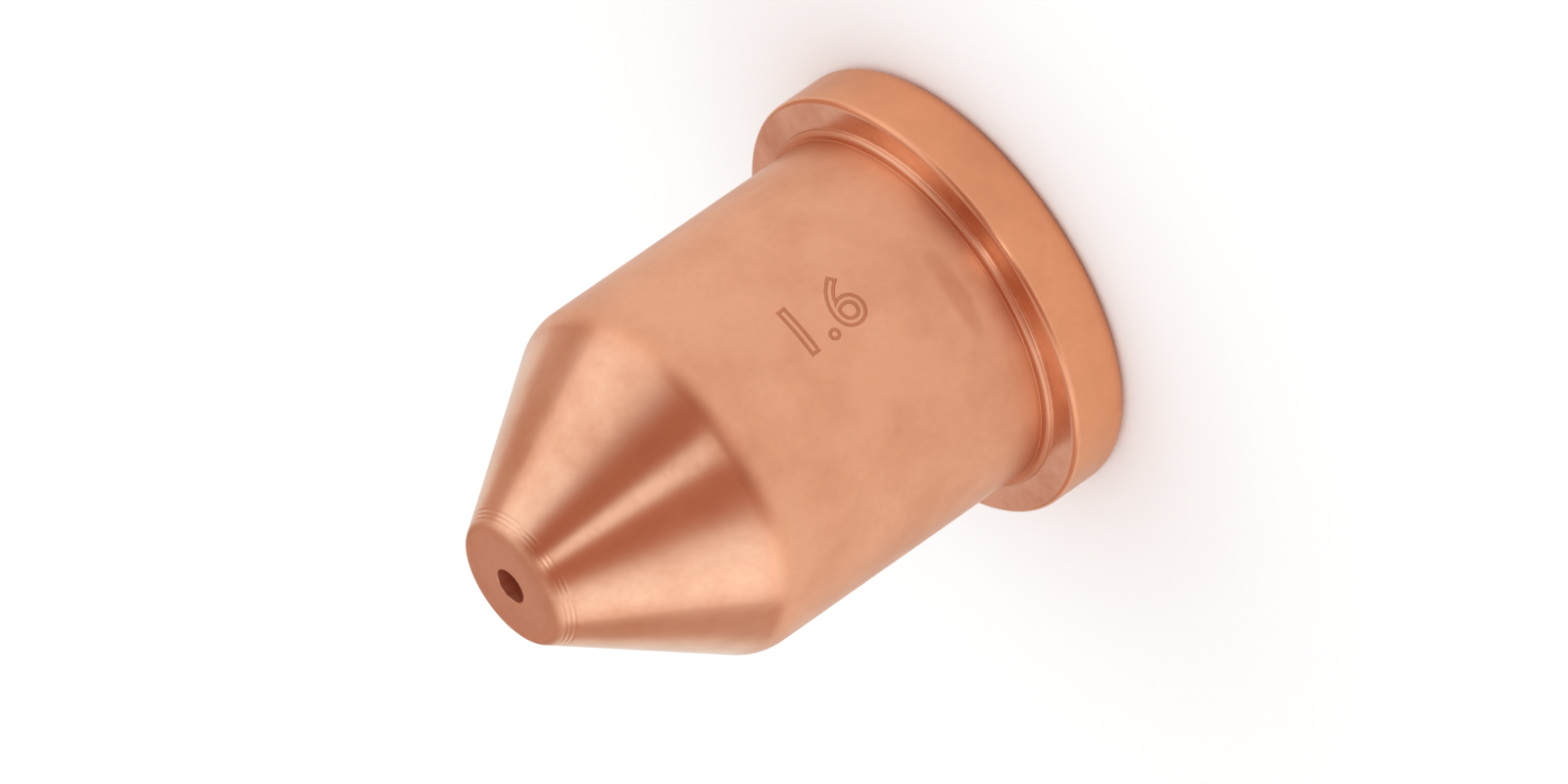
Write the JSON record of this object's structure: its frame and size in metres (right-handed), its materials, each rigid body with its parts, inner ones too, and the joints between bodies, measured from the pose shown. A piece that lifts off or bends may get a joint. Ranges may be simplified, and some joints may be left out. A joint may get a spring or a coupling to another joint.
{
  "type": "plasma torch nozzle",
  "caption": "Turned copper nozzle: rear flange, straight body, tapered nose with a small central orifice, hollow from the rear.",
  "frame": {"origin": "centre of the flange's rear face, on the nozzle's axis", "axes": "+Z along the axis, from the rear face to the nose; X and Y are any two radial directions"},
  "size_m": [0.02, 0.02, 0.0253],
  "materials": {
    "copper": "fine turned bare copper"
  },
  "bodies": {
    "root": {"nozzle": "copper"}
  },
  "joints": []
}
